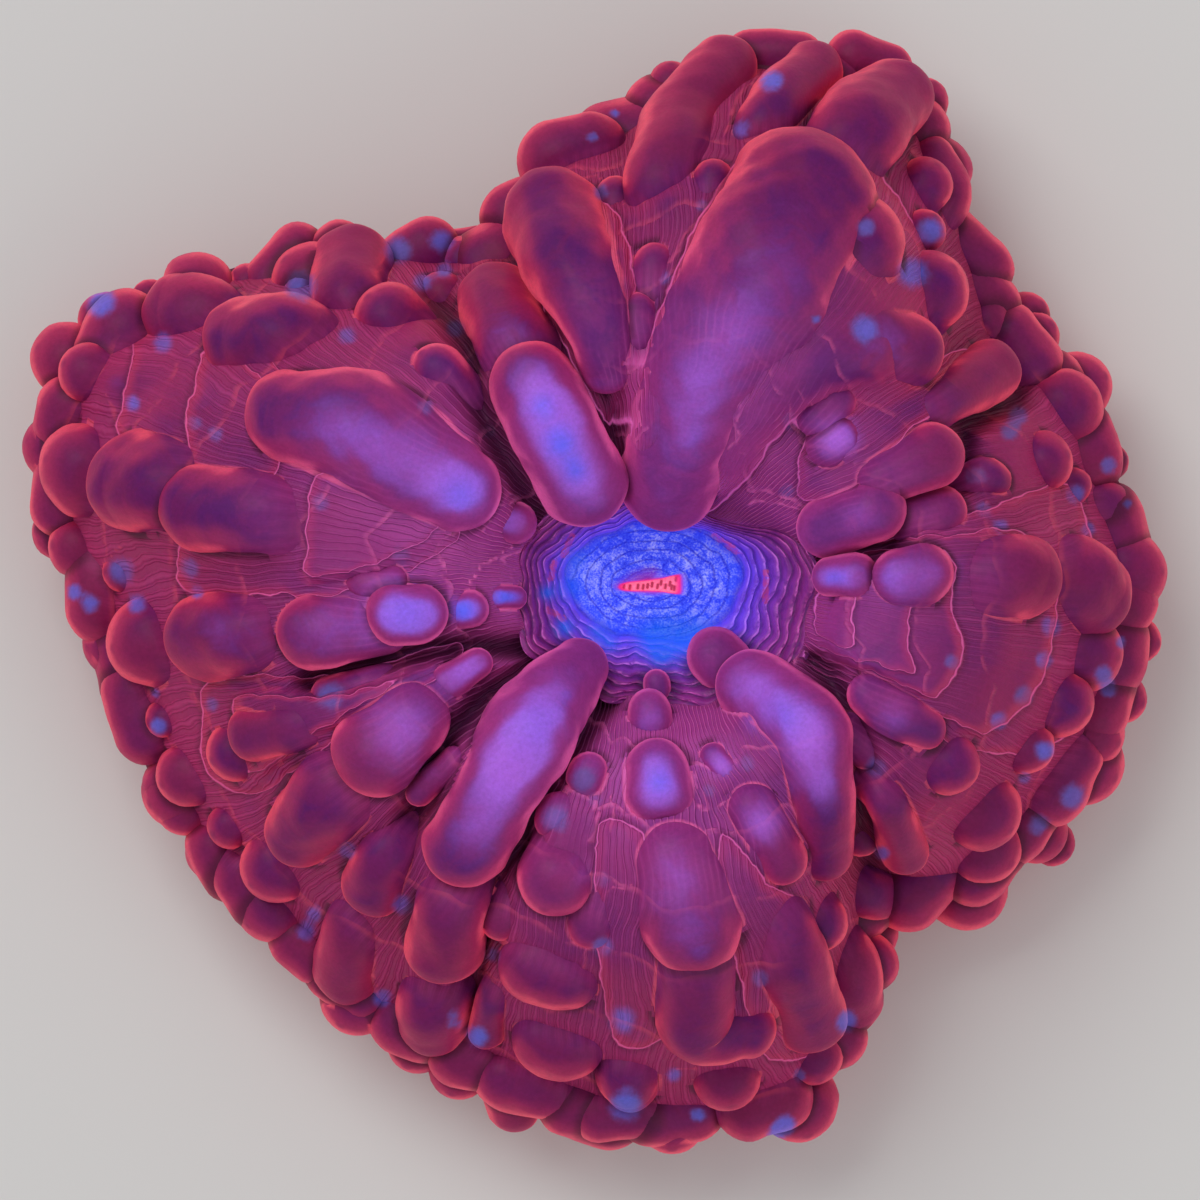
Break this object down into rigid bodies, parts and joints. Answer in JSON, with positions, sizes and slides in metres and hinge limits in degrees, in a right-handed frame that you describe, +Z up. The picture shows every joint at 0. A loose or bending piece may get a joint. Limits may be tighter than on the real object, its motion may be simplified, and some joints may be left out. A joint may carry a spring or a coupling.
{
  "type": "button coral polyp",
  "caption": "Fleshy solitary coral polyp with inflated vesicles round a sunken oral disc and mouth, cut off flat at its foot so it rests level on a surface.",
  "frame": {"origin": "on the flat cut foot, straight below the mouth", "axes": "+Z up out of the foot through the mouth, +Y towards the tall lobe, +X to the right of it seen from above"},
  "size_m": [0.0728, 0.0712, 0.0313],
  "materials": {
    "polyp_flesh": "soft wet living tissue, deep red with violet tops and a blue oral disc"
  },
  "bodies": {
    "root": {"polyp": "polyp_flesh"}
  },
  "joints": []
}
